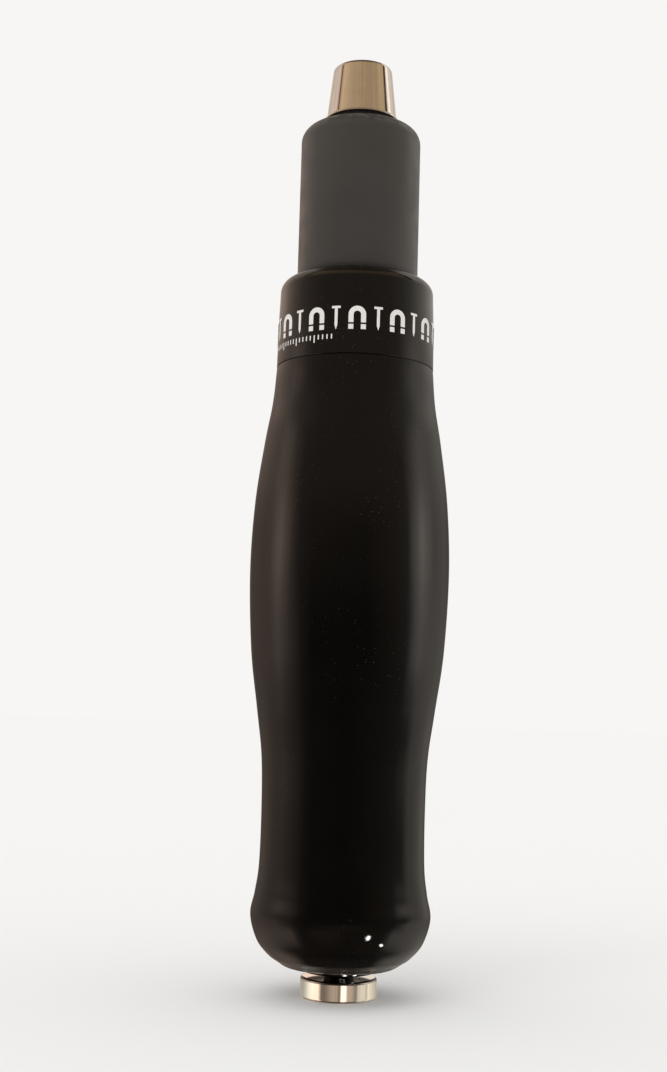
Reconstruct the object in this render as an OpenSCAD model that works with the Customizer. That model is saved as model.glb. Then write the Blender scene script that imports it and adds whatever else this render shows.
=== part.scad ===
// Hand-held magnetic nail pick-up with a pull-to-release magnet.
// It stands upright on its pull knob. +Z runs from the knob to the magnetic nose, and the
// origin is the middle of the knob's underside. All sizes are in millimetres.

/* [Knob and rod] */
// Radius of the round pull knob at the butt end
knob_r = 6.45; // [5.8:0.05:7.5]
// Thickness of the pull knob
knob_t = 3.4; // [2.8:0.1:3.6]
// Radius of the pull rod
rod_r = 2.5; // [2.3:0.05:2.6]
// How far the knob pulls out before the stop clip meets the butt bush
pull_travel = 18; // [10:1:18]

/* [Grip] */
// Height of the flat ring at the butt of the grip
grip_z0 = 5; // [4.9:0.1:5.3]
// Largest radius of the small swell at the butt
butt_r = 15.25; // [14.8:0.05:15.6]
// Radius of the waist above the butt swell
waist_r = 13.95; // [13.5:0.05:14.4]
// Largest radius of the palm swell
palm_r = 17.25; // [16.8:0.05:19]

/* [Collar] */
// Height of the parting line between grip and collar
collar_z0 = 107.4; // [106.8:0.1:108.3]
// Height of the collar's flat top
collar_z1 = 123.2; // [121.3:0.1:124.3]
// Outer radius of the collar
collar_r = 13.7; // [13.5:0.05:14]

/* [Sleeve] */
// Outer radius of the sleeve's exposed barrel
sleeve_r = 10.65; // [10.5:0.05:10.9]
// Height of the sleeve's closed top
sleeve_z1 = 151.4; // [149.3:0.1:153.3]
// Radius of the rounded rim at the sleeve's top
sleeve_round = 2.75; // [2:0.05:3.4]

/* [Nose] */
// Height of the working face above the sleeve's top
nose_reach = 11.4; // [9:0.1:13]
// Radius of the nose just above its base flange
nose_base_r = 6.25; // [5.9:0.05:6.5]
// Radius of the nose at its working end
nose_tip_r = 5.3; // [5.1:0.05:5.8]

/* [Magnet and spring] */
// Radius of the magnet
magnet_r = 3.3; // [2.8:0.1:3.4]
// Length of the magnet
magnet_len = 15; // [12:0.5:16]
// Radius of the return spring's wire
wire_r = 0.6; // [0.4:0.05:0.7]
// Number of turns of the return spring
spring_turns = 14; // [10:1:16]

/* [Hidden] */

$fn = 96;
eps = 0.01;              // overshoot of a cut past the face that it opens
run_gap = 0.05;          // radial clearance of a sliding or glued fit
seam_chamfer = 0.12;     // broken edge on each side of the parting line

// Heights of the pieces on the pull rod, with the magnet fully forward
lip_t = 0.8;             // thickness of the butt bush's flange below the grip
lip_r = 6.1;
lip_round = 0.3;
bush_r = 4.6;
butt_wall = 12;          // thickness of the grip's butt wall, which holds the bush
butt_z1 = grip_z0 + butt_wall;
clip_t = 0.8;
clip_r = 4.6;
clip_bore_r = rod_r - 0.5;
stop_clip_z = butt_z1 + pull_travel + 0.2;
screw_r = 1.5;
screw_head_r = 3.1;
screw_recess = 0.15;     // the screw head lies this far inside the knob
screw_len = 8;

// The sleeve's shank runs down inside the collar and grip
shank_r = 10;
shank_z0 = 62.1;
sleeve_bore_r = 7.9;
sleeve_wall_top = 3.5;
spigot_r = 12;
spigot_z0 = 99.6;
ring_t = 1;
ring_z0 = spigot_z0 - ring_t;
ring_r = 11.2;
ring_groove_r = 9.2;
ring_room = 2;           // free height under the spigot for the retaining ring

// The guide bush, its clip and the return spring
guide_clip_z = 63.1;
guide_clip_t = 1;
guide_groove_r = 8.5;
guide_z0 = guide_clip_z + guide_clip_t;
guide_len = 8;
seat_t = 0.8;
spring_z0 = guide_z0 + guide_len + seat_t;
spring_z1 = 124.3;
upper_seat_t = 1;
spring_r = 5;            // mean radius of the spring's coils
spring_clip_z = spring_z1 + upper_seat_t + 0.05;

// The nose, the parts that hold it, and the magnet behind it
gasket_t = 1.45;
nose_z0 = sleeve_z1 + gasket_t;
nose_z1 = sleeve_z1 + nose_reach;
nose_flange_r = nose_base_r + 0.4;
nose_flange_t = 0.35;
nose_round = 0.8;
nose_shank_r = 5.2;
nose_bore_r = 4.2;
nose_wall = 0.9;         // thickness of the end wall between magnet and nails
nut_t = 3.6;
nut_z0 = sleeve_z1 - sleeve_wall_top - nut_t;
nut_flats = 13;
nose_shank_z0 = nut_z0 - 0.6;
bumper_z0 = nose_shank_z0 - 1.5;
bumper_r = 7.4;
cup_flange_t = 2;
cup_z0 = bumper_z0 - 0.1 - cup_flange_t;
cup_flange_r = 6.8;
cup_r = 4;
lock_nut_t = 2.8;
lock_nut_flats = 8;
magnet_z1 = nose_z1 - nose_wall - 0.3;
magnet_z0 = magnet_z1 - magnet_len;
cup_z1 = magnet_z0 + 9;
rod_z1 = cup_z0 + 5;

// Points of an arc in the (radius, height) plane, from angle a0 to a1, in n steps
function arc(r, z, radius, a0, a1, n = 8) =
    [for (i = [0:n]) let (a = a0 + (a1 - a0) * i / n) [r + radius * cos(a), z + radius * sin(a)]];

// One point of a smooth curve between points b and c, with a and d as their neighbours
function blend_point(a, b, c, d, t) =
    (2 * b + (c - a) * t + (2 * a - 5 * b + 4 * c - d) * t * t
     + (3 * b - a - 3 * c + d) * t * t * t) / 2;

// A smooth curve through the points p, with n steps between neighbours
function smooth_curve(p, n) =
    let (last = len(p) - 1, q = concat([2 * p[0] - p[1]], p, [2 * p[last] - p[last - 1]]))
    concat([for (i = [1:last], s = [0:n - 1])
            blend_point(q[i - 1], q[i], q[i + 1], q[i + 2], s / n)], [p[last]]);

// The grip's turned outline as (radius, height), from the butt up to the parting line
grip_outline = [
    [7.6, grip_z0],
    [9.3, grip_z0 + 0.12],
    [10.6, grip_z0 + 0.88],
    [12.2, grip_z0 + 2],
    [14.12, grip_z0 + 4.4],
    [butt_r, grip_z0 + 8.4],
    [14.58, grip_z0 + 12.3],
    [14.03, grip_z0 + 17.1],
    [waist_r, grip_z0 + 26.6],
    [waist_r + 0.3, grip_z0 + 35.1],
    [15.3, grip_z0 + 43.1],
    [16.62, grip_z0 + 53.1],
    [palm_r, grip_z0 + 66.6],
    [palm_r - 0.5, grip_z0 + 78.6],
    [15.42, grip_z0 + 89.1],
    [14.27, grip_z0 + 96.1],
    [collar_r + 0.05, collar_z0 - seam_chamfer]
];

// A round plate with its axis on Z
module disc(r, z0, z1) {
    translate([0, 0, z0]) cylinder(r = r, h = z1 - z0);
}

// A washer or plain tube with its axis on Z
module tube(r_out, r_in, z0, z1) {
    difference() {
        disc(r_out, z0, z1);
        disc(r_in, z0 - 1, z1 + 1);
    }
}

// A snap ring: a flat tube with a gap of the given width on its +X side
module snap_ring(r_out, r_in, z0, t, gap) {
    difference() {
        tube(r_out, r_in, z0, z0 + t);
        translate([0, -gap / 2, z0 - 1]) cube([r_out + 1, gap, t + 2]);
    }
}

// A hexagon nut with its axis on Z
module hex_nut(flats, r_in, z0, t) {
    difference() {
        translate([0, 0, z0]) cylinder(r = flats / sqrt(3), h = t, $fn = 6);
        disc(r_in, z0 - 1, z0 + t + 1);
    }
}

module knob() {
    color("silver") difference() {
        rotate_extrude() polygon(concat(
            [[0, 0]],
            arc(knob_r - 0.5, 0.5, 0.5, -90, 0, 5),
            arc(knob_r - 0.45, knob_t - 0.45, 0.45, 0, 90, 4),
            [[0, knob_t]]));
        disc(screw_r, -1, knob_t + 1);
        translate([0, 0, -eps])
            cylinder(r1 = screw_head_r + eps, r2 = screw_r, h = screw_head_r - screw_r + eps);
    }
}

module knob_screw() {
    color("dimgray") difference() {
        union() {
            translate([0, 0, screw_recess]) cylinder(
                r1 = screw_head_r - screw_recess, r2 = screw_r,
                h = screw_head_r - screw_r - screw_recess);
            disc(screw_r, screw_recess, screw_recess + screw_len);
        }
        // Hexagon socket
        translate([0, 0, screw_recess - 1]) cylinder(r = 2 / sqrt(3), h = 2.3, $fn = 6);
    }
}

module rod() {
    color("dimgray") difference() {
        rotate_extrude() polygon([
            [0, knob_t], [rod_r, knob_t],
            [rod_r, stop_clip_z - eps], [clip_bore_r, stop_clip_z - eps],
            [clip_bore_r, stop_clip_z + clip_t + eps], [rod_r, stop_clip_z + clip_t + eps],
            [rod_r, spring_clip_z - eps], [clip_bore_r, spring_clip_z - eps],
            [clip_bore_r, spring_clip_z + clip_t + eps], [rod_r, spring_clip_z + clip_t + eps],
            [rod_r, rod_z1], [0, rod_z1]]);
        // Tapped hole for the knob's screw
        disc(screw_r, knob_t - 1, screw_recess + screw_len + 1);
    }
}

// Two like clips: the lower one stops the pull, the upper one carries the spring's load
module rod_clips() {
    color("slategray") for (z = [stop_clip_z, spring_clip_z])
        snap_ring(clip_r, clip_bore_r + run_gap, z, clip_t, 2.8);
}

module end_bush() {
    color("black") difference() {
        rotate_extrude() polygon(concat(
            [[0, grip_z0 - lip_t]],
            arc(lip_r - lip_round, grip_z0 - lip_t + lip_round, lip_round, -90, 0, 5),
            [[lip_r, grip_z0], [bush_r, grip_z0], [bush_r, butt_z1], [0, butt_z1]]));
        disc(rod_r + run_gap, 0, butt_z1 + 1);
    }
}

module grip() {
    color([0.06, 0.05, 0.05]) difference() {
        rotate_extrude() polygon(concat(
            [[0, grip_z0]], smooth_curve(grip_outline, 4),
            [[collar_r + 0.05 - seam_chamfer, collar_z0], [0, collar_z0]]));
        disc(bush_r, grip_z0 - 1, butt_z1 + 1);
        disc(8.5, butt_z1, shank_z0);
        disc(shank_r + run_gap, shank_z0 - 1.8, collar_z0 + 1);
        disc(spigot_r + run_gap, spigot_z0 - ring_room, collar_z0 + 1);
    }
}

module collar() {
    color([0.07, 0.06, 0.06]) difference() {
        rotate_extrude() polygon(concat(
            [[0, spigot_z0], [spigot_r, spigot_z0], [spigot_r, collar_z0],
             [collar_r + 0.07 - seam_chamfer, collar_z0], [collar_r + 0.07, collar_z0 + seam_chamfer],
             [collar_r + 0.04, collar_z0 + 5], [collar_r - 0.05, collar_z0 + 9]],
            arc(collar_r - 0.2 - 2.3, collar_z1 - 2.3, 2.3, 4, 90, 8),
            [[0, collar_z1]]));
        disc(shank_r + run_gap, spigot_z0 - 1, collar_z1 + 1);
    }
}

module sleeve() {
    color([0.25, 0.24, 0.23]) difference() {
        rotate_extrude() polygon(concat(
            [[0, shank_z0], [shank_r, shank_z0],
             [shank_r, ring_z0 - eps], [ring_groove_r, ring_z0 - eps],
             [ring_groove_r, spigot_z0], [shank_r, spigot_z0],
             [shank_r, collar_z1], [sleeve_r, collar_z1]],
            arc(sleeve_r - sleeve_round, sleeve_z1 - sleeve_round, sleeve_round, 0, 90, 10),
            [[0, sleeve_z1]]));
        disc(sleeve_bore_r, shank_z0 - 1, sleeve_z1 - sleeve_wall_top);
        disc(guide_groove_r, guide_clip_z - eps, guide_clip_z + guide_clip_t);
        disc(nose_shank_r + run_gap, sleeve_z1 - sleeve_wall_top - 1, sleeve_z1 + 1);
    }
}

module sleeve_ring() {
    color("slategray") snap_ring(ring_r, ring_groove_r + run_gap, ring_z0, ring_t, 6);
}

module guide_clip() {
    color("slategray") snap_ring(guide_groove_r - run_gap, 6.6, guide_clip_z, guide_clip_t, 4);
}

module guide_bush() {
    color("goldenrod") tube(sleeve_bore_r, rod_r + run_gap, guide_z0, guide_z0 + guide_len);
}

module spring_seat_lower() {
    color("gray") tube(sleeve_bore_r - 0.2, rod_r + 0.4, spring_z0 - seat_t, spring_z0);
}

module spring_seat_upper() {
    color("gray") tube(6.5, rod_r + run_gap, spring_z1, spring_z1 + upper_seat_t);
}

// The spring's wire is swept ring by ring along a helix whose end turns lie closed
module return_spring() {
    sides = 6;
    steps = 16;                                   // rings in one turn
    closed = 1.25;                                // closed turns at each end
    rings = spring_turns * steps;
    closed_pitch = 2 * wire_r + 0.05;
    free_len = spring_z1 - spring_z0 - 2 * wire_r - 2 * closed * closed_pitch;
    open_pitch = free_len / (spring_turns - 2 * closed);
    function wire_z(turn) = spring_z0 + wire_r
        + closed_pitch * min(turn, closed)
        + open_pitch * max(0, min(turn, spring_turns - closed) - closed)
        + closed_pitch * max(0, turn - spring_turns + closed);
    points = [for (i = [0:rings], k = [0:sides - 1])
        let (turn = i / steps, a = 360 * turn, b = 360 * k / sides,
             r = spring_r + wire_r * cos(b))
        [r * cos(a), r * sin(a), wire_z(turn) + wire_r * sin(b)]];
    walls = [for (i = [0:rings - 1], k = [0:sides - 1])
        let (n = (k + 1) % sides)
        [i * sides + k, (i + 1) * sides + k, (i + 1) * sides + n, i * sides + n]];
    first_end = [[for (k = [0:sides - 1]) k]];
    last_end = [[for (k = [sides - 1:-1:0]) rings * sides + k]];
    color("lightsteelblue") polyhedron(points, concat(walls, first_end, last_end));
}

module cup_lock_nut() {
    color("silver") hex_nut(lock_nut_flats, rod_r, cup_z0 - lock_nut_t, lock_nut_t);
}

module magnet_cup() {
    color("lightgray") difference() {
        union() {
            disc(cup_flange_r, cup_z0, cup_z0 + cup_flange_t);
            disc(cup_r, cup_z0, cup_z1);
        }
        disc(rod_r, cup_z0 - 1, rod_z1);
        disc(magnet_r, magnet_z0, cup_z1 + 1);
    }
}

module magnet() {
    chamfer = 0.4;
    color("whitesmoke") rotate_extrude() polygon([
        [0, magnet_z0], [magnet_r, magnet_z0], [magnet_r, magnet_z1 - chamfer],
        [magnet_r - chamfer, magnet_z1], [0, magnet_z1]]);
}

// A stepped washer: it hugs the end of the nose's shank and cushions the cup's flange
module nose_bumper() {
    color([0.12, 0.12, 0.12]) difference() {
        disc(bumper_r, bumper_z0, nut_z0);
        disc(nose_bore_r + 0.1, bumper_z0 - 1, nut_z0 + 1);
        disc(nose_shank_r, nose_shank_z0, nut_z0 + 1);
    }
}

module nose_nut() {
    color("silver") hex_nut(nut_flats, nose_shank_r, nut_z0, nut_t);
}

module nose_gasket() {
    color([0.05, 0.05, 0.05]) tube(nose_base_r, nose_shank_r + run_gap, sleeve_z1, nose_z0);
}

module nose() {
    color([0.8, 0.76, 0.7]) difference() {
        rotate_extrude() polygon(concat(
            [[0, nose_shank_z0], [nose_shank_r, nose_shank_z0], [nose_shank_r, nose_z0],
             [nose_flange_r, nose_z0], [nose_flange_r, nose_z0 + nose_flange_t],
             [nose_base_r, nose_z0 + nose_flange_t + 0.15]],
            arc(nose_tip_r - nose_round, nose_z1 - nose_round, nose_round, 5, 90, 6),
            [[0, nose_z1]]));
        disc(nose_bore_r, nose_shank_z0 - 1, nose_z1 - nose_wall);
        // Lead-in for the magnet at the mouth of the bore
        translate([0, 0, nose_shank_z0 - eps])
            cylinder(r1 = nose_bore_r + 0.5, r2 = nose_bore_r, h = 0.6);
    }
}

knob();
knob_screw();
rod();
rod_clips();
end_bush();
grip();
collar();
sleeve();
sleeve_ring();
guide_clip();
guide_bush();
spring_seat_lower();
return_spring();
spring_seat_upper();
cup_lock_nut();
magnet_cup();
magnet();
nose_bumper();
nose_nut();
nose_gasket();
nose();
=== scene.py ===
"""Looks of the hand-held magnetic nail pick-up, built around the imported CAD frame.

The turned pieces that show are lathed again as fine, smoothly shaded meshes on the CAD outlines.
Outlines are (radius, height) points in millimetres. Everything else is in metres.
"""
import math

import bmesh
import bpy
from mathutils import Matrix, Vector


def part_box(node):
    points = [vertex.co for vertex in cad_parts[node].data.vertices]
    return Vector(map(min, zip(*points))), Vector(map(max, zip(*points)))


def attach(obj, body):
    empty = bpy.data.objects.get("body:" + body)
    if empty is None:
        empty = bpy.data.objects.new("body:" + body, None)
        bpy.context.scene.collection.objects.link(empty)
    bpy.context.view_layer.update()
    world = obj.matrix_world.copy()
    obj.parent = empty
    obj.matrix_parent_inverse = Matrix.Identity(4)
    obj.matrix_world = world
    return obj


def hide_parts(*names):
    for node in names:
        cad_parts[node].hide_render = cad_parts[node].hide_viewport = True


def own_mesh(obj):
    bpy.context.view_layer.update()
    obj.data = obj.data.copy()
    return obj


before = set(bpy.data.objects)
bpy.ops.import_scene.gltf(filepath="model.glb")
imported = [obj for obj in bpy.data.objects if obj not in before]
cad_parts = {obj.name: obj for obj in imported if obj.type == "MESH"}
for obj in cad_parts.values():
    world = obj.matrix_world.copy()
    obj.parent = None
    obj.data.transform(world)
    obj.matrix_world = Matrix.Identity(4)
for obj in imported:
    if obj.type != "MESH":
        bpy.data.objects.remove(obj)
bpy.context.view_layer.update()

MM = 0.001
SEGMENTS = 192           # facets round a turned piece
CURVE_STEPS = 14         # steps between two points of a smooth outline


def box_low(node):
    """The low corner of a CAD piece's box, in millimetres."""
    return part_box(node)[0] / MM


def box_high(node):
    """The high corner of a CAD piece's box, in millimetres."""
    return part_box(node)[1] / MM


# Sizes read from the CAD boxes, in millimetres
KNOB_R, KNOB_T = box_high("knob").x, box_high("knob").z
ROD_R, ROD_Z1 = box_high("rod").x, box_high("rod").z
CLIPS_Z0, CLIPS_Z1 = box_low("rod_clips").z, box_high("rod_clips").z
LIP_R, LIP_Z0, BUSH_Z1 = box_high("end_bush").x, box_low("end_bush").z, box_high("end_bush").z
GRIP_Z0, SEAM_Z = box_low("grip").z, box_high("grip").z
SPIGOT_Z0, COLLAR_Z1 = box_low("collar").z, box_high("collar").z
SLEEVE_R, SHANK_Z0, SLEEVE_Z1 = box_high("sleeve").x, box_low("sleeve").z, box_high("sleeve").z
GUIDE_CLIP_Z0 = box_low("guide_clip").z
GASKET_Z1 = box_high("nose_gasket").z
NOSE_Z0, NOSE_Z1 = box_low("nose").z, box_high("nose").z
SPRING_Z0, SPRING_Z1 = box_low("return_spring").z, box_high("return_spring").z

# Sizes that the boxes don't show, the same as in the CAD source, in millimetres
RUN_GAP = 0.05
KNOB_FOOT_ROUND, KNOB_TOP_ROUND = 0.5, 0.45
SCREW_R, SCREW_HEAD_R, SCREW_END_Z = 1.5, 3.1, 9.15
CLIP_T, CLIP_GROOVE_DEPTH = 0.8, 0.5
LIP_ROUND, BUSH_R = 0.3, 4.6
SPIGOT_R = 12 + RUN_GAP
COUNTERBORE_Z0 = SPIGOT_Z0 - 2
CAVITY_R, CAVITY_Z1 = 8.5, SHANK_Z0 - 1.8
SEAM_CHAMFER = 0.12
COLLAR_R, COLLAR_ROUND = 13.7, 2.3
SHANK_R, SLEEVE_BORE_R, SLEEVE_WALL_TOP, SLEEVE_ROUND = 10, 7.9, 3.5, 2.75
RING_GROOVE_R, RING_T = 9.2, 1
GUIDE_GROOVE_R, GUIDE_CLIP_T = 8.5, 1
NOSE_BASE_R, NOSE_TIP_R, NOSE_SHANK_R, NOSE_BORE_R = 6.25, 5.3, 5.2, 4.2
NOSE_FLANGE_T, NOSE_ROUND, NOSE_WALL = 0.35, 0.8, 0.9
GRIP_RISE = [     # (radius, height above the grip's foot) of the grip's skin
    (7.6, 0), (9.3, 0.12), (10.6, 0.88), (12.2, 2), (14.12, 4.4), (15.25, 8.4), (14.58, 12.3), (14.03, 17.1),
    (13.95, 26.6), (14.25, 35.1), (15.3, 43.1), (16.62, 53.1), (17.25, 66.6), (16.75, 78.6), (15.42, 89.1),
    (14.27, 96.1),
]


# ---------------------------------------------------------------- outlines and meshes

def arc(r, z, radius, start, end, steps=8):
    """Points of an arc about (r, z), from start to end degrees."""
    angles = [math.radians(start + (end - start) * i / steps) for i in range(steps + 1)]
    return [(r + radius * math.cos(a), z + radius * math.sin(a)) for a in angles]


def smooth_curve(points, steps=CURVE_STEPS):
    """A smooth curve through the points, the same as in the CAD source but finer."""
    first = tuple(2 * a - b for a, b in zip(points[0], points[1]))
    last = tuple(2 * a - b for a, b in zip(points[-1], points[-2]))
    known = [first, *points, last]
    curve = []
    for i in range(1, len(known) - 2):
        a, b, c, d = known[i - 1:i + 3]
        for s in range(steps):
            t = s / steps
            curve.append(tuple(
                (2 * q + (r - p) * t + (2 * p - 5 * q + 4 * r - w) * t ** 2
                 + (3 * q - p - 3 * r + w) * t ** 3) / 2
                for p, q, r, w in zip(a, b, c, d)))
    return curve + [points[-1]]


def with_supports(outline, closed, margin=0.05, longest=2.0):
    """Adds a point close to each end of every long straight run, so that it shades flat."""
    followers = outline[1:] + outline[:1] if closed else outline[1:]
    points = []
    for a, b in zip(outline, followers):
        points.append(a)
        length = math.dist(a, b)
        if length > longest:
            for share in (margin / length, 1 - margin / length):
                points.append(tuple(p + (q - p) * share for p, q in zip(a, b)))
    return points if closed else points + [outline[-1]]


def lathe(name, outline, material, longest=2.0):
    """Turns an outline about Z. It is a closed ring, or it starts and ends on the axis."""
    closed = outline[0][0] > 0
    outline = with_supports(outline, closed, longest=longest)
    mesh = bmesh.new()
    rings = []
    for r, z in outline:
        if r <= 0:
            rings.append([mesh.verts.new((0, 0, z * MM))] * SEGMENTS)
            continue
        turn = [2 * math.pi * k / SEGMENTS for k in range(SEGMENTS)]
        rings.append([mesh.verts.new((r * MM * math.cos(t), r * MM * math.sin(t), z * MM)) for t in turn])
    followers = rings[1:] + rings[:1] if closed else rings[1:]
    for ring, following in zip(rings, followers):
        for k in range(SEGMENTS):
            n = (k + 1) % SEGMENTS
            corners = [ring[k], ring[n], following[n], following[k]]
            corners = [v for i, v in enumerate(corners) if v not in corners[:i]]
            if len(corners) > 2:
                mesh.faces.new(corners)
    return finished(name, mesh, material)


def finished(name, mesh, material, sharp_degrees=32):
    """Makes an object from a bmesh, with outward normals and smooth shading up to an angle."""
    bmesh.ops.recalc_face_normals(mesh, faces=mesh.faces)
    data = bpy.data.meshes.new(name)
    mesh.to_mesh(data)
    mesh.free()
    data.shade_smooth()
    data.set_sharp_from_angle(angle=math.radians(sharp_degrees))
    data.materials.append(material)
    obj = bpy.data.objects.new(name, data)
    bpy.context.scene.collection.objects.link(obj)
    return obj


def stands_for(obj, node, body):
    """The piece takes the place of the CAD node, which is hidden, and rides the node's body."""
    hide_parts(node)
    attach(obj, body)


# ---------------------------------------------------------------- material building blocks

class Shader:
    """A new material with its Principled shader, and short ways to add nodes to it."""

    def __init__(self, name, **constants):
        self.material = bpy.data.materials.new(name)
        self.material.use_nodes = True
        self.tree = self.material.node_tree
        self.surface = self.tree.nodes["Principled BSDF"]
        for socket, value in constants.items():
            self.surface.inputs[socket.replace("_", " ")].default_value = value
        self.place = self.tree.nodes.new("ShaderNodeTexCoord").outputs["Object"]

    def join(self, value, socket):
        if isinstance(value, bpy.types.NodeSocket):
            self.tree.links.new(value, socket)
        elif value is not None:
            socket.default_value = value

    def math(self, kind, a, b=None):
        node = self.tree.nodes.new("ShaderNodeMath")
        node.operation = kind
        self.join(a, node.inputs[0])
        self.join(b, node.inputs[1])
        return node.outputs[0]

    def vector(self, kind, a, b=None):
        node = self.tree.nodes.new("ShaderNodeVectorMath")
        node.operation = kind
        self.join(a, node.inputs[0])
        self.join(b, node.inputs[1])
        return node.outputs[0]

    def noise(self, scale, detail=3.0, where=None, roughness=0.5):
        node = self.tree.nodes.new("ShaderNodeTexNoise")
        self.join(self.place if where is None else where, node.inputs["Vector"])
        node.inputs["Scale"].default_value = scale
        node.inputs["Detail"].default_value = detail
        node.inputs["Roughness"].default_value = roughness
        return node.outputs["Fac"]

    def spots(self, scale, size):
        """1 inside small scattered spots and 0 elsewhere; size is their radius in cells."""
        node = self.tree.nodes.new("ShaderNodeTexVoronoi")
        self.join(self.place, node.inputs["Vector"])
        node.inputs["Scale"].default_value = scale
        return self.span(node.outputs["Distance"], size, size * 0.6, 0, 1)

    def span(self, value, low, high, to_low, to_high):
        """Maps low..high to to_low..to_high smoothly, and holds the ends."""
        node = self.tree.nodes.new("ShaderNodeMapRange")
        node.interpolation_type = "SMOOTHSTEP"
        self.join(value, node.inputs["Value"])
        ends = {"From Min": low, "From Max": high, "To Min": to_low, "To Max": to_high}
        for socket, number in ends.items():
            node.inputs[socket].default_value = number
        return node.outputs[0]

    def mix(self, share, a, b):
        node = self.tree.nodes.new("ShaderNodeMix")
        node.data_type = "RGBA"
        self.join(share, node.inputs["Factor"])
        self.join((*a, 1) if isinstance(a, tuple) else a, node.inputs["A"])
        self.join((*b, 1) if isinstance(b, tuple) else b, node.inputs["B"])
        return node.outputs["Result"]

    def height(self):
        """The height of a point on the piece, in millimetres."""
        split = self.tree.nodes.new("ShaderNodeSeparateXYZ")
        self.join(self.place, split.inputs[0])
        return self.math("MULTIPLY", split.outputs["Z"], 1 / MM)

    def streaks_along(self, across, along):
        """Noise drawn out along Z; across is streaks per radian and along is streaks per metre."""
        turned = self.vector("NORMALIZE", self.vector("MULTIPLY", self.place, (1, 1, 0)))
        spread = self.vector("MULTIPLY", turned, (across, across, 0))
        drift = self.vector("MULTIPLY", self.place, (0, 0, along))
        return self.noise(1.0, 3.0, where=self.vector("ADD", spread, drift))

    def rings_round(self, scale):
        """Noise that changes only with height, as the marks of a lathe tool."""
        return self.noise(scale, 2.0, where=self.vector("MULTIPLY", self.place, (0, 0, 1)))

    def worn(self, edges, width, share=0.5):
        """Ragged wear within width of the heights in edges, all in millimetres."""
        height = self.height()
        ragged = self.span(self.noise(900, 4.0), share, share + 0.12, 0, 1)
        total = None
        for edge in edges:
            away = self.math("ABSOLUTE", self.math("SUBTRACT", height, edge))
            band = self.span(away, 0, width, 1, 0)
            total = band if total is None else self.math("MAXIMUM", total, band)
        return self.math("MULTIPLY", total, ragged)

    def colour(self, value):
        self.join(value, self.surface.inputs["Base Color"])

    def rough(self, value):
        self.join(value, self.surface.inputs["Roughness"])

    def bump(self, height, distance, strength=1.0):
        """Adds fine relief, distance in metres, on top of any relief already there."""
        node = self.tree.nodes.new("ShaderNodeBump")
        self.join(height, node.inputs["Height"])
        node.inputs["Distance"].default_value = distance
        node.inputs["Strength"].default_value = strength
        before = self.surface.inputs["Normal"]
        if before.is_linked:
            self.tree.links.new(before.links[0].from_socket, node.inputs["Normal"])
        self.tree.links.new(node.outputs["Normal"], before)


# ---------------------------------------------------------------- the materials

def black_plastic(name, worn_edges, tint=1.0):
    """Glossy moulded black: faint orange peel, hairline scratches and a little dust."""
    s = Shader(name, IOR=1.5)
    dark = tuple(tint * c for c in (0.0019, 0.0016, 0.0013))
    light = tuple(tint * c for c in (0.0036, 0.0030, 0.0025))
    worn = s.worn(worn_edges, 0.9)
    dust = s.math("MULTIPLY", s.spots(1500, 0.11), s.span(s.noise(60), 0.45, 0.65, 0, 1))
    body = s.mix(s.noise(140, 4.0), dark, light)
    body = s.mix(s.math("MULTIPLY", worn, 0.3), body, (0.03, 0.027, 0.024))
    s.colour(s.mix(s.math("MULTIPLY", dust, 0.25), body, (0.3, 0.28, 0.25)))
    scratches = s.span(s.streaks_along(55, 60), 0.60, 0.72, 0, 1)
    peel = s.span(s.noise(220, 4.0), 0.3, 0.7, 0.055, 0.115)
    gloss = s.math("ADD", peel, s.math("MULTIPLY", scratches, 0.05))
    s.rough(s.math("ADD", gloss, s.math("MULTIPLY", worn, 0.22)))
    s.bump(s.noise(420, 2.0), 0.000006)
    return s.material


def anodised_grey(name):
    """Satin dark grey with a bead-blasted grain, rubbed a little paler at the rims, with painted shade at
    its foot.
    """
    s = Shader(name, IOR=1.48)
    worn = s.worn((SLEEVE_Z1 - 0.9,), 1.5, share=0.46)
    body = s.mix(s.noise(110, 5.0), (0.032, 0.030, 0.0275), (0.046, 0.043, 0.0395))
    grain = s.noise(5200, 2.0)
    body = s.mix(s.math("MULTIPLY", grain, 0.25), body, (0.072, 0.067, 0.063))
    # Painted shade: the colour darkens over the last 1.5 mm above the collar, standing in for the shadow the
    # collar casts there
    painted_foot_shade = s.span(s.height(), COLLAR_Z1 - 0.2, COLLAR_Z1 + 1.5, 0.75, 0)
    body = s.mix(painted_foot_shade, body, (0.006, 0.0055, 0.005))
    s.colour(s.mix(s.math("MULTIPLY", worn, 0.3), body, (0.16, 0.15, 0.14)))
    s.rough(s.span(s.noise(300, 4.0), 0.3, 0.7, 0.36, 0.46))
    s.bump(grain, 0.000012)
    return s.material


def bare_metal(name, dull, bright, gloss=(0.08, 0.16), along=True, stain=None):
    """Metal polished lengthways or turned on a lathe, with fine streaks and perhaps wide stains."""
    s = Shader(name, Metallic=1.0)
    streaks = s.streaks_along(9, 40) if along else s.rings_round(9000)
    cloud = s.noise(350, 4.0)
    shade = s.math("ADD", s.math("MULTIPLY", streaks, 0.7), s.math("MULTIPLY", cloud, 0.3))
    body = s.mix(s.span(shade, 0.3, 0.7, 0, 1), dull, bright)
    if stain:
        body = s.mix(s.span(s.streaks_along(4, 30), 0.46, 0.62, 0, 0.7), body, stain)
    s.colour(body)
    smears = s.span(s.noise(180, 5.0), 0.35, 0.65, 0, 0.04)
    s.rough(s.math("ADD", s.span(streaks, 0.3, 0.7, *gloss), smears))
    s.bump(s.rings_round(14000), 0.000003)
    return s.material


def rubber(name):
    s = Shader(name, IOR=1.45)
    s.colour(s.mix(s.noise(500, 5.0), (0.006, 0.006, 0.006), (0.014, 0.013, 0.013)))
    s.rough(s.span(s.noise(900, 3.0), 0.3, 0.7, 0.55, 0.75))
    s.bump(s.noise(2500, 3.0), 0.00002)
    return s.material


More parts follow.
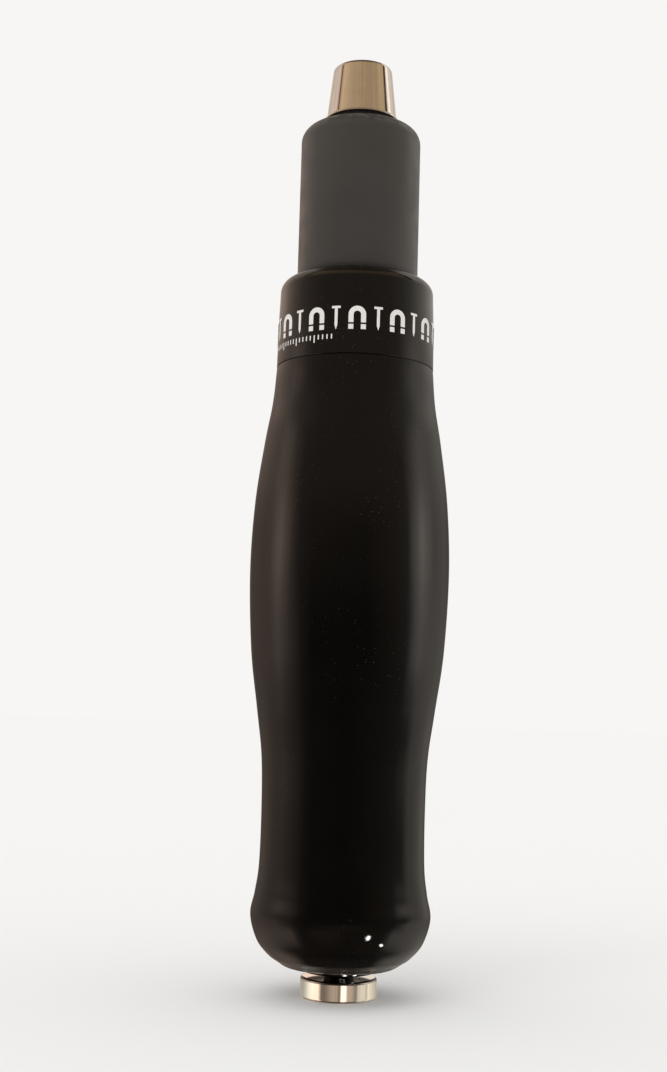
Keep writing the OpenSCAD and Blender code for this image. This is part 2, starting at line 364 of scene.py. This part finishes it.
def print_ink(name):
    """Pad-printed white ink: slightly uneven, with tiny pinholes."""
    s = Shader(name, IOR=1.45)
    pinholes = s.spots(2600, 0.16)
    body = s.mix(s.noise(260, 4.0), (0.70, 0.68, 0.64), (0.82, 0.80, 0.76))
    s.colour(s.mix(s.math("MULTIPLY", pinholes, 0.5), body, (0.25, 0.24, 0.22)))
    s.rough(s.span(s.noise(700, 3.0), 0.3, 0.7, 0.32, 0.5))
    s.bump(s.noise(1800, 3.0), 0.000008)
    return s.material


gloss_grip = black_plastic("gloss_black_grip", (GRIP_Z0 + 0.6,))
gloss_collar = black_plastic("gloss_black_collar", (COLLAR_Z1 - 0.4,), tint=1.5)
gloss_bush = black_plastic("gloss_black_bush", (LIP_Z0 + 0.2,))
satin_grey = anodised_grey("satin_grey_anodised")
polished_nose = bare_metal("polished_stainless", (0.58, 0.54, 0.49), (0.78, 0.74, 0.67), (0.03, 0.08),
                           stain=(0.68, 0.60, 0.62))
bright_chrome = bare_metal("bright_chrome", (0.80, 0.77, 0.70), (0.93, 0.90, 0.84), (0.04, 0.09))
black_steel = bare_metal("black_oxide_steel", (0.012, 0.011, 0.010), (0.05, 0.045, 0.04), (0.25, 0.4))
spring_steel = bare_metal("spring_steel", (0.34, 0.33, 0.32), (0.58, 0.57, 0.55), (0.2, 0.32), along=False)
zinc_steel = bare_metal("zinc_plated_steel", (0.5, 0.5, 0.49), (0.74, 0.74, 0.72), (0.22, 0.36), along=False)
bronze = bare_metal("sintered_bronze", (0.40, 0.25, 0.11), (0.66, 0.45, 0.22), (0.35, 0.5), along=False)
nickel = bare_metal("nickel_plate", (0.60, 0.57, 0.52), (0.78, 0.75, 0.70), (0.08, 0.16), along=False)
black_rubber = rubber("black_rubber")
white_ink = print_ink("white_print_ink")


# ---------------------------------------------------------------- the turned pieces

grip_skin = [(r, GRIP_Z0 + rise) for r, rise in GRIP_RISE] + [(COLLAR_R + 0.05, SEAM_Z - SEAM_CHAMFER)]
grip = lathe(
    "grip_shell",
    smooth_curve(grip_skin) + [
        (COLLAR_R + 0.05 - SEAM_CHAMFER, SEAM_Z), (SPIGOT_R + 0.1, SEAM_Z), (SPIGOT_R, SEAM_Z - 0.1),
        (SPIGOT_R, COUNTERBORE_Z0), (SHANK_R + RUN_GAP, COUNTERBORE_Z0),
        (SHANK_R + RUN_GAP, CAVITY_Z1), (CAVITY_R, CAVITY_Z1), (CAVITY_R, BUSH_Z1),
        (BUSH_R, BUSH_Z1), (BUSH_R, GRIP_Z0)],
    gloss_grip)
stands_for(grip, "grip", "housing")

collar = lathe(
    "collar_shell",
    [(SPIGOT_R - RUN_GAP, SPIGOT_Z0), (SPIGOT_R - RUN_GAP, SEAM_Z),
     (COLLAR_R + 0.07 - SEAM_CHAMFER, SEAM_Z), (COLLAR_R + 0.07, SEAM_Z + SEAM_CHAMFER),
     (COLLAR_R + 0.04, SEAM_Z + 5), (COLLAR_R - 0.05, SEAM_Z + 9)]
    + arc(COLLAR_R - 0.2 - COLLAR_ROUND, COLLAR_Z1 - COLLAR_ROUND, COLLAR_ROUND, 4, 90, 14)
    + arc(SHANK_R + RUN_GAP + 0.15, COLLAR_Z1 - 0.15, 0.15, 90, 180, 4)
    + [(SHANK_R + RUN_GAP, SPIGOT_Z0)],
    gloss_collar)
stands_for(collar, "collar", "housing")

sleeve = lathe(
    "sleeve_barrel",
    [(SHANK_R, SHANK_Z0), (SHANK_R, SPIGOT_Z0 - RING_T), (RING_GROOVE_R, SPIGOT_Z0 - RING_T),
     (RING_GROOVE_R, SPIGOT_Z0), (SHANK_R, SPIGOT_Z0), (SHANK_R, COLLAR_Z1)]
    + arc(SLEEVE_R - 0.12, COLLAR_Z1 + 0.12, 0.12, -90, 0, 3)
    + arc(SLEEVE_R - SLEEVE_ROUND, SLEEVE_Z1 - SLEEVE_ROUND, SLEEVE_ROUND, 0, 90, 18)
    + [(NOSE_SHANK_R + RUN_GAP, SLEEVE_Z1), (NOSE_SHANK_R + RUN_GAP, SLEEVE_Z1 - SLEEVE_WALL_TOP),
       (SLEEVE_BORE_R, SLEEVE_Z1 - SLEEVE_WALL_TOP), (SLEEVE_BORE_R, GUIDE_CLIP_Z0 + GUIDE_CLIP_T),
       (GUIDE_GROOVE_R, GUIDE_CLIP_Z0 + GUIDE_CLIP_T), (GUIDE_GROOVE_R, GUIDE_CLIP_Z0),
       (SLEEVE_BORE_R, GUIDE_CLIP_Z0), (SLEEVE_BORE_R, SHANK_Z0)],
    satin_grey)
stands_for(sleeve, "sleeve", "housing")

gasket = lathe(
    "nose_gasket_ring",
    [(NOSE_SHANK_R + RUN_GAP, SLEEVE_Z1), (NOSE_BASE_R - 0.1, SLEEVE_Z1)]
    + arc(NOSE_BASE_R - 0.35, (SLEEVE_Z1 + GASKET_Z1) / 2, 0.4, -50, 50, 6)
    + [(NOSE_BASE_R - 0.1, GASKET_Z1), (NOSE_SHANK_R + RUN_GAP, GASKET_Z1)],
    black_rubber)
stands_for(gasket, "nose_gasket", "housing")

nose = lathe(
    "nose_cup",
    [(0, NOSE_Z1 - NOSE_WALL), (NOSE_BORE_R, NOSE_Z1 - NOSE_WALL), (NOSE_BORE_R, NOSE_Z0 + 0.6),
     (NOSE_BORE_R + 0.5, NOSE_Z0), (NOSE_SHANK_R, NOSE_Z0), (NOSE_SHANK_R, GASKET_Z1)]
    + arc(NOSE_BASE_R + 0.3, GASKET_Z1 + 0.1, 0.1, -90, 0, 3)
    + arc(NOSE_BASE_R + 0.3, GASKET_Z1 + NOSE_FLANGE_T - 0.1, 0.1, 0, 90, 3)
    + [(NOSE_BASE_R, GASKET_Z1 + NOSE_FLANGE_T + 0.15)]
    + arc(NOSE_TIP_R - NOSE_ROUND, NOSE_Z1 - NOSE_ROUND, NOSE_ROUND, 5, 90, 10)
    + [(0, NOSE_Z1)],
    polished_nose)
stands_for(nose, "nose", "housing")

bush = lathe(
    "butt_bush",
    [(ROD_R + RUN_GAP, BUSH_Z1), (ROD_R + RUN_GAP, LIP_Z0 + 0.15)]
    + arc(ROD_R + RUN_GAP + 0.15, LIP_Z0 + 0.15, 0.15, 180, 270, 4)
    + arc(LIP_R - LIP_ROUND, LIP_Z0 + LIP_ROUND, LIP_ROUND, -90, 0, 8)
    + [(LIP_R, GRIP_Z0), (BUSH_R, GRIP_Z0), (BUSH_R, BUSH_Z1)],
    gloss_bush)
stands_for(bush, "end_bush", "housing")

knob = lathe(
    "pull_knob",
    [(SCREW_HEAD_R, 0)]
    + arc(KNOB_R - KNOB_FOOT_ROUND, KNOB_FOOT_ROUND, KNOB_FOOT_ROUND, -90, 0, 9)
    + arc(KNOB_R - KNOB_TOP_ROUND, KNOB_T - KNOB_TOP_ROUND, KNOB_TOP_ROUND, 0, 90, 6)
    + [(SCREW_R, KNOB_T), (SCREW_R, SCREW_HEAD_R - SCREW_R)],
    bright_chrome, longest=0.8)
stands_for(knob, "knob", "plunger")

rod_outline = [(0, SCREW_END_Z), (SCREW_R, SCREW_END_Z), (SCREW_R, KNOB_T), (ROD_R, KNOB_T)]
for z0 in (CLIPS_Z0, CLIPS_Z1 - CLIP_T):
    rod_outline += [(ROD_R, z0), (ROD_R - CLIP_GROOVE_DEPTH, z0),
                    (ROD_R - CLIP_GROOVE_DEPTH, z0 + CLIP_T), (ROD_R, z0 + CLIP_T)]
rod_outline += [(ROD_R, ROD_Z1 - 0.3), (ROD_R - 0.3, ROD_Z1), (0, ROD_Z1)]
rod = lathe("pull_rod", rod_outline, black_steel)
stands_for(rod, "rod", "plunger")


# ---------------------------------------------------------------- the return spring

def coil_spring(name, material, turns=14, mean_r=5, wire_r=0.6, closed=1.25, sides=10, steps=32):
    """A compression spring with closed end turns, swept along the helix of the CAD spring."""
    rings = turns * steps
    closed_pitch = 2 * wire_r + 0.05
    low = SPRING_Z0 + wire_r
    open_length = SPRING_Z1 - SPRING_Z0 - 2 * wire_r - 2 * closed * closed_pitch
    open_pitch = open_length / (turns - 2 * closed)
    mesh = bmesh.new()
    loops = []
    for i in range(rings + 1):
        turn = i / steps
        z = low + closed_pitch * min(turn, closed)
        z += open_pitch * max(0, min(turn, turns - closed) - closed)
        z += closed_pitch * max(0, turn - turns + closed)
        about = 2 * math.pi * turn
        loop = []
        for k in range(sides):
            round_wire = 2 * math.pi * k / sides
            r = mean_r + wire_r * math.cos(round_wire)
            point = (r * math.cos(about), r * math.sin(about), z + wire_r * math.sin(round_wire))
            loop.append(mesh.verts.new(Vector(point) * MM))
        loops.append(loop)
    for loop, following in zip(loops, loops[1:]):
        for k in range(sides):
            n = (k + 1) % sides
            mesh.faces.new((loop[k], following[k], following[n], loop[n]))
    mesh.faces.new(loops[0])
    mesh.faces.new(loops[-1])
    return finished(name, mesh, material)


spring = coil_spring("coil_spring", spring_steel)
stands_for(spring, "return_spring", "housing")
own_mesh(spring)


# ---------------------------------------------------------------- CAD pieces kept as they are

KEPT = {
    "knob_screw": black_steel, "rod_clips": spring_steel, "sleeve_ring": spring_steel,
    "guide_clip": spring_steel, "guide_bush": bronze, "spring_seat_lower": zinc_steel,
    "spring_seat_upper": zinc_steel, "cup_lock_nut": zinc_steel, "magnet_cup": zinc_steel,
    "magnet": nickel, "nose_bumper": black_rubber, "nose_nut": zinc_steel,
}
for node, material in KEPT.items():
    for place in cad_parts[node].material_slots:
        place.material = material


# ---------------------------------------------------------------- the print on the collar

PRINT_Z0, PRINT_Z1 = 111.5, 115.5     # foot and top of the large marks
PRINT_PROUD, PRINT_SUNK = 0.02, 0.04  # how far the ink stands off the collar and goes into it
MARK_PAIRS = 12                       # magnets, with as many nails between them
TICKS, TICK_PITCH, TICKS_START = 20, 0.8, -19.5
TICKS_Z1 = 110.7


def on_collar(along, height, proud):
    """A point on the collar, along its girth from the front, in millimetres."""
    r = COLLAR_R + 0.06 + proud
    turn = along / COLLAR_R
    return Vector((r * math.sin(turn), -r * math.cos(turn), height)) * MM


def ink_strip(mesh, path, widths):
    """A flat stroke of ink along a path of (along, height) points on the collar."""
    sheets = []
    for proud in (PRINT_PROUD, -PRINT_SUNK):
        rows = []
        for i, (u, v) in enumerate(path):
            before, after = path[max(i - 1, 0)], path[min(i + 1, len(path) - 1)]
            du, dv = after[0] - before[0], after[1] - before[1]
            length = math.hypot(du, dv)
            across = (-dv / length * widths[i] / 2, du / length * widths[i] / 2)
            rows.append([mesh.verts.new(on_collar(u + side * across[0], v + side * across[1], proud))
                         for side in (-1, 0, 1)])
        sheets.append(rows)
    top, under = sheets
    for rows in sheets:
        for a, b in zip(rows, rows[1:]):
            for k in range(2):
                mesh.faces.new((a[k], a[k + 1], b[k + 1], b[k]))
    for k in (0, 2):
        for a, b, c, d in zip(top, top[1:], under[1:], under):
            mesh.faces.new((a[k], b[k], c[k], d[k]))
    for row in (0, -1):
        for k in range(2):
            mesh.faces.new((top[row][k], top[row][k + 1], under[row][k + 1], under[row][k]))


def straight(a, b, steps=4):
    return [tuple(p + (q - p) * i / steps for p, q in zip(a, b)) for i in range(steps + 1)]


def magnet_mark(mesh, u):
    """A plain horseshoe magnet with its two poles down."""
    stroke, half_gap = 0.85, 1.05
    bend_z = PRINT_Z1 - stroke / 2 - half_gap
    bend = [(u + r, z) for r, z in arc(0, bend_z, half_gap, 180, 0, 14)]
    legs_z = PRINT_Z0 + 1.15
    left_leg = straight((u - half_gap, legs_z), bend[0])
    right_leg = straight(bend[-1], (u + half_gap, legs_z))
    body = left_leg[:-1] + bend + right_leg[1:]
    ink_strip(mesh, body, [stroke] * len(body))
    for side in (-1, 1):
        pole = straight((u + side * half_gap, PRINT_Z0 + 0.85), (u + side * half_gap, PRINT_Z0))
        ink_strip(mesh, pole, [stroke] * len(pole))


def nail_mark(mesh, u):
    """A nail, head up."""
    head = straight((u - 0.75, PRINT_Z1 - 0.2), (u + 0.75, PRINT_Z1 - 0.2))
    ink_strip(mesh, head, [0.4] * len(head))
    shank = straight((u, PRINT_Z1 - 0.4), (u, PRINT_Z0 + 0.75)) + [(u, PRINT_Z0)]
    ink_strip(mesh, shank, [0.5] * (len(shank) - 1) + [0.06])


def collar_marks():
    """A ring of magnet and nail marks, with a short row of ticks below its left part."""
    mesh = bmesh.new()
    pitch = 2 * math.pi * COLLAR_R / MARK_PAIRS
    for i in range(MARK_PAIRS):
        magnet_mark(mesh, pitch * i)
        nail_mark(mesh, pitch * (i + 0.5))
    for i in range(TICKS):
        u = TICKS_START + TICK_PITCH * i
        tall = 1.3 if i % 5 == 0 else 0.8
        tick = straight((u, TICKS_Z1 - tall), (u, TICKS_Z1), 2)
        ink_strip(mesh, tick, [0.22] * len(tick))
    return finished("collar_print", mesh, white_ink)


marks = collar_marks()
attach(marks, "housing")


# ---------------------------------------------------------------- camera

CAMERA_DISTANCE, CAMERA_HEIGHT = 0.264, 0.04753
CAMERA_PITCH, CAMERA_ROLL = math.radians(6.65), math.radians(1.62)
FOCAL_SHARE = 1.4132     # focal length over the picture's long side
ASIDE = 0.00296          # how far left of the tool's axis the camera stands

camera_data = bpy.data.cameras.new("camera")
camera_data.lens = FOCAL_SHARE * camera_data.sensor_width
camera = bpy.data.objects.new("camera", camera_data)
bpy.context.scene.collection.objects.link(camera)
bpy.context.scene.camera = camera
forward = Vector((0, math.cos(CAMERA_PITCH), math.sin(CAMERA_PITCH)))
level_up = Vector((0, -math.sin(CAMERA_PITCH), math.cos(CAMERA_PITCH)))
right = Vector((math.cos(CAMERA_ROLL), 0, 0)) + math.sin(CAMERA_ROLL) * level_up
up = right.cross(forward)
camera_place = Vector((0, -CAMERA_DISTANCE * math.cos(CAMERA_PITCH), CAMERA_HEIGHT)) - ASIDE * right
camera.matrix_world = (Matrix.Translation(camera_place)
                       @ Matrix((right, up, -forward)).transposed().to_4x4())


# ---------------------------------------------------------------- studio

def stage_material(name, colour, roughness=0.6):
    s = Shader(name)
    s.colour(s.mix(s.noise(3.0), colour, tuple(c * 0.985 for c in colour)))
    s.surface.inputs["Roughness"].default_value = roughness
    s.surface.inputs["Specular IOR Level"].default_value = 0
    return s.material


def stage_object(name, mesh, material):
    data = bpy.data.meshes.new(name)
    mesh.to_mesh(data)
    mesh.free()
    data.materials.append(material)
    obj = bpy.data.objects.new(name, data)
    bpy.context.scene.collection.objects.link(obj)
    return obj


def only_in_reflections(obj, seen_in=()):
    """Hides obj from all but glossy rays. Where seen_in names pieces, it shines on those alone."""
    if seen_in:
        receivers = bpy.data.collections.new(obj.name + "_receivers")
        for piece in seen_in:
            receivers.objects.link(piece)
        obj.light_linking.receiver_collection = receivers
    obj.visible_camera = False
    obj.visible_diffuse = False
    obj.visible_transmission = False
    obj.visible_volume_scatter = False
    obj.visible_shadow = False


LEFT_TINT, MIDDLE_TINT, RIGHT_TINT = (1.25, 0.96, 0.79), (1.25, 0.97, 0.78), (1.10, 1.00, 0.90)
WARM_TINT, CREAM_TINT = (1.36, 1.02, 0.62), (1.06, 1.00, 0.86)
BUFF_TINT, STRAW_TINT = (1.17, 0.985, 0.84), (1.11, 1.00, 0.82)

# Brightness of the surroundings seen in the glossy skin, as (degrees round, brightness) at some heights
# in millimetres. 0 degrees is the camera's side and positive is to its right. The middle is dark, with
# a soft light box on the left and a sharper, stronger one on the right.
SURROUNDINGS = [
    (-220, [(-180, 0.06), (-120, 0.06), (-70, 0.05), (0, 0.04), (70, 0.05), (120, 0.07), (180, 0.07)]),
    (-120, [(-180, 0.12), (-150, 0.42), (-130, 0.42), (-90, 0.12), (-60, 0.07), (0, 0.05), (60, 0.08),
            (100, 0.18), (128, 0.50), (150, 0.42), (180, 0.12)]),
    (-45, [(-180, 0.30), (-150, 0.18), (-110, 0.43), (-80, 0.56), (-66, 0.60), (-58, 0.20), (-50, 0.06),
           (-20, 0.12), (10, 0.05), (55, 0.08), (62, 0.20), (70, 0.70), (90, 0.66), (130, 0.44),
           (180, 0.33)]),
    (-5, [(-180, 0.10), (-166, 0.08), (-140, 0.15), (-110, 0.34), (-84, 0.44), (-66, 0.22),
          (-52, 0.07), (-42, 0.03), (0, 0.08), (45, 0.05), (66, 0.10), (80, 0.42), (90, 0.66), (120, 0.40),
          (150, 0.12), (180, 0.10)]),
    (18, [(-180, 0.80), (-172, 0.80), (-166, 0.10), (-150, 0.13), (-130, 0.25), (-106, 0.29), (-90, 0.34),
          (-66, 0.20), (-52, 0.06), (-41, 0.03), (0, 0.01), (45, 0.05), (68, 0.10), (84, 0.14), (95, 0.44),
          (132, 0.40), (155, 0.10), (166, 0.10), (172, 0.80), (180, 0.80)]),
    (52, [(-180, 0.08), (-140, 0.13), (-112, 0.32), (-96, 0.46), (-84, 0.76), (-74, 0.57), (-62, 0.30),
          (-52, 0.09), (-40, 0.02), (20, 0.01), (48, 0.07), (66, 0.15), (69, 0.24), (77, 0.74), (86, 1.00),
          (98, 0.70), (118, 0.42), (146, 0.17), (180, 0.08)]),
    (90, [(-180, 0.08), (-140, 0.14), (-112, 0.33), (-98, 0.50), (-92, 0.78), (-82, 1.30), (-74, 0.88),
          (-64, 0.36), (-56, 0.14), (-40, 0.08), (15, 0.05), (50, 0.13), (64, 0.22), (69, 0.70), (78, 1.25),
          (83, 1.65), (92, 1.05), (104, 0.52), (126, 0.33), (146, 0.12), (180, 0.08)]),
    (125, [(-180, 0.15), (-150, 0.22), (-130, 0.36), (-104, 0.52), (-92, 0.80), (-82, 0.76), (-70, 0.38),
           (-60, 0.18), (-40, 0.15), (30, 0.15), (60, 0.18), (68, 0.42), (78, 0.78), (87, 0.90),
           (104, 0.60), (130, 0.40), (150, 0.20), (180, 0.15)]),
    (150, [(-180, 0.40), (-150, 0.56), (-130, 0.84), (-106, 0.62), (-86, 0.38), (-66, 0.26), (-46, 0.17),
           (0, 0.15), (46, 0.17), (66, 0.28), (80, 0.42), (98, 0.72), (126, 0.84), (150, 0.60),
           (180, 0.40)]),
]
# The same for what the nose mirrors, above the rest, and for two low rings close round the knob, one
# mirrored by the knob and one by the butt
ABOVE = [(-180, 0.62), (-140, 0.60), (-118, 0.70), (-99, 0.76), (-92, 0.40), (-89, 0.10), (-87, 0.10),
         (-84, 0.42), (-76, 0.56), (-55, 0.46), (-30, 0.38), (5, 0.33), (45, 0.33), (62, 0.40), (83, 0.44),
         (87, 0.02), (94, 0.02), (98, 0.95), (106, 1.30), (118, 0.80), (145, 0.60), (165, 0.66), (180, 0.62)]
KNOB_ROUND = [(-180, 0.45), (-100, 0.42), (-85, 0.42), (-74, 0.58), (-62, 1.00), (-40, 1.20), (-32, 0.16),
              (-25, 0.16), (-14, 0.34), (-3, 0.37), (0, 0.20), (3, 0.24), (5, 1.50), (12, 1.50), (15, 0.44),
              (22, 0.42), (32, 0.20), (36, 0.55), (48, 0.78), (58, 0.45), (61, 0.92), (72, 0.70), (95, 0.50),
              (120, 0.45), (180, 0.45)]
BUTT_ROUND = [(-180, 0.30), (-60, 0.60), (-20, 0.12), (25, 0.12), (60, 0.50), (180, 0.30)]
ABOVE_STARTS = (172, 196)       # heights between which ABOVE takes over, in millimetres
CEILING_STARTS = (270, 330)     # heights between which it fades to dark
CEILING = (0.05, 0.04, 0.03)
TENT_R, TENT_Z0, TENT_Z1 = 0.11, -0.25, 0.42
RING_Z0, RING_Z1 = -0.002, 0.0027
KNOB_RING_R, BUTT_RING_R = 0.008, 0.00804


def around(s):
    """The angle of a point round Z, with -180..180 degrees mapped to 0..1 and the camera's side at 0.5."""
    split = s.tree.nodes.new("ShaderNodeSeparateXYZ")
    s.join(s.place, split.inputs[0])
    angle = s.math("ARCTAN2", split.outputs["X"], s.math("MULTIPLY", split.outputs["Y"], -1.0))
    return s.math("ADD", s.math("MULTIPLY", angle, 1 / (2 * math.pi)), 0.5)


def sweep(s, turn, stops, middle=MIDDLE_TINT, left=LEFT_TINT, right=RIGHT_TINT, spread=(-50, 60)):
    """A colour round Z with (degrees, brightness) stops, in the middle tint between spread's two angles."""
    ramp = s.tree.nodes.new("ShaderNodeValToRGB")
    s.join(turn, ramp.inputs["Fac"])
    points = ramp.color_ramp.elements
    while len(points) < len(stops):
        points.new(0.5)
    for point, (degrees, bright) in zip(points, stops):
        tint = left if degrees < spread[0] else right if degrees > spread[1] else middle
        point.position = (degrees + 180) / 360
        point.color = (*(bright * c for c in tint), 1)
    return ramp.outputs["Color"]


def glow(s, light):
    """Makes the material shine with that light only."""
    emission = s.tree.nodes.new("ShaderNodeEmission")
    s.join(light, emission.inputs["Color"])
    s.join(emission.outputs[0], s.tree.nodes["Material Output"].inputs["Surface"])


def tube(radius, z0, z1, capped=False):
    """A bmesh of a fine tube round Z."""
    mesh = bmesh.new()
    bmesh.ops.create_cone(mesh, cap_ends=capped, segments=128, radius1=radius, radius2=radius, depth=z1 - z0,
                          matrix=Matrix.Translation((0, 0, (z0 + z1) / 2)))
    return mesh


def reflection_tent():
    """A drum of light round the tool that is seen only in reflections."""
    s = Shader("tent_light")
    turn = around(s)
    height = s.height()
    level, light = SURROUNDINGS[0][0], sweep(s, turn, SURROUNDINGS[0][1])
    for next_level, stops in SURROUNDINGS[1:]:
        light = s.mix(s.span(height, level, next_level, 0, 1), light, sweep(s, turn, stops))
        level = next_level
    above = sweep(s, turn, ABOVE, middle=WARM_TINT, left=BUFF_TINT, spread=(-94, 96))
    light = s.mix(s.span(height, *ABOVE_STARTS, 0, 1), light, above)
    light = s.mix(s.span(height, *CEILING_STARTS, 0, 0.85), light, CEILING)
    glow(s, light)
    drum = tube(TENT_R, TENT_Z0, TENT_Z1, capped=True)
    only_in_reflections(stage_object("reflection_tent", drum, s.material))


def light_ring(name, radius, stops, seen_in):
    """A low ring of light close round the knob, mirrored by the pieces in seen_in."""
    s = Shader(name)
    glow(s, sweep(s, around(s), stops, left=CREAM_TINT, right=STRAW_TINT, spread=(-50, 30)))
    ring = stage_object(name, tube(radius, RING_Z0, RING_Z1), s.material)
    only_in_reflections(ring, seen_in=seen_in)
    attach(ring, "carriage")


def highlight_lamp(name, piece, start_mm, azimuth, elevation, wide, tall, distance, strength):
    """A small bright oval mirrored by one piece, in a direction from a point on that piece."""
    a, e = math.radians(azimuth), math.radians(elevation)
    towards = Vector((math.sin(a) * math.cos(e), -math.cos(a) * math.cos(e), math.sin(e)))
    mesh = bmesh.new()
    bmesh.ops.create_circle(mesh, cap_ends=True, segments=32, radius=1)
    bmesh.ops.scale(mesh, vec=(wide, tall, 1), verts=mesh.verts)
    s = Shader(name)
    glow(s, (strength, strength, strength, 1))
    lamp = stage_object(name, mesh, s.material)
    lamp.location = Vector(start_mm) * MM + towards * distance
    lamp.rotation_euler = (-towards).to_track_quat("Z", "Y").to_euler()
    only_in_reflections(lamp, seen_in=[piece])


# Name, piece, the point on it, the lamp's direction from there in degrees, its half sizes, how far off it
# stands and its strength
LAMPS = [
    ("highlight_lamp_a", grip, (4.5, -14.2, 11.7), 39.7, -34.4, 0.0038, 0.0060, 0.085, 40),
    ("highlight_lamp_b", grip, (6.6, -12.9, 10.5), 66.4, -41.8, 0.0038, 0.0019, 0.085, 40),
    ("lip_lamp_a", bush, (1.0, -6.0, 4.4), 18.8, -28, 0.0006, 0.0012, 0.0034, 60),
    ("lip_lamp_b", bush, (2.7, -5.5, 4.4), 52.8, -28, 0.0006, 0.0012, 0.0034, 60),
]


FLOOR_RADIUS, FLOOR_Z = 6.0, -0.00005
SKY_COLOUR, SKY_STRENGTH = (1, 0.99, 0.975, 1), 0.93
SUN_STRENGTH, SUN_SPREAD, SUN_TURN = 0.45, math.radians(40), (math.radians(38), math.radians(-28), 0)

floor_mesh = bmesh.new()
bmesh.ops.create_circle(floor_mesh, cap_ends=True, segments=96, radius=FLOOR_RADIUS)
floor = stage_object("floor", floor_mesh, stage_material("pale_floor", (0.9, 0.9, 0.895)))
floor.location.z = FLOOR_Z
floor.visible_glossy = False
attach(floor, "carriage")       # the tool stands on its knob, so the floor stays under it

reflection_tent()
light_ring("knob_light_ring", KNOB_RING_R, KNOB_ROUND, seen_in=[knob])
light_ring("butt_light_ring", BUTT_RING_R, BUTT_ROUND, seen_in=[grip, bush])
for lamp in LAMPS:
    highlight_lamp(*lamp)

sky = bpy.data.worlds.new("studio")
bpy.context.scene.world = sky
sky.use_nodes = True
sky.node_tree.nodes["Background"].inputs["Color"].default_value = SKY_COLOUR
sky.node_tree.nodes["Background"].inputs["Strength"].default_value = SKY_STRENGTH

sun_data = bpy.data.lights.new("soft_key", "SUN")
sun_data.energy = SUN_STRENGTH
sun_data.angle = SUN_SPREAD
sun = bpy.data.objects.new("soft_key", sun_data)
bpy.context.scene.collection.objects.link(sun)
sun.rotation_euler = SUN_TURN
sun.visible_glossy = False

bpy.context.scene.view_settings.view_transform = "Standard"
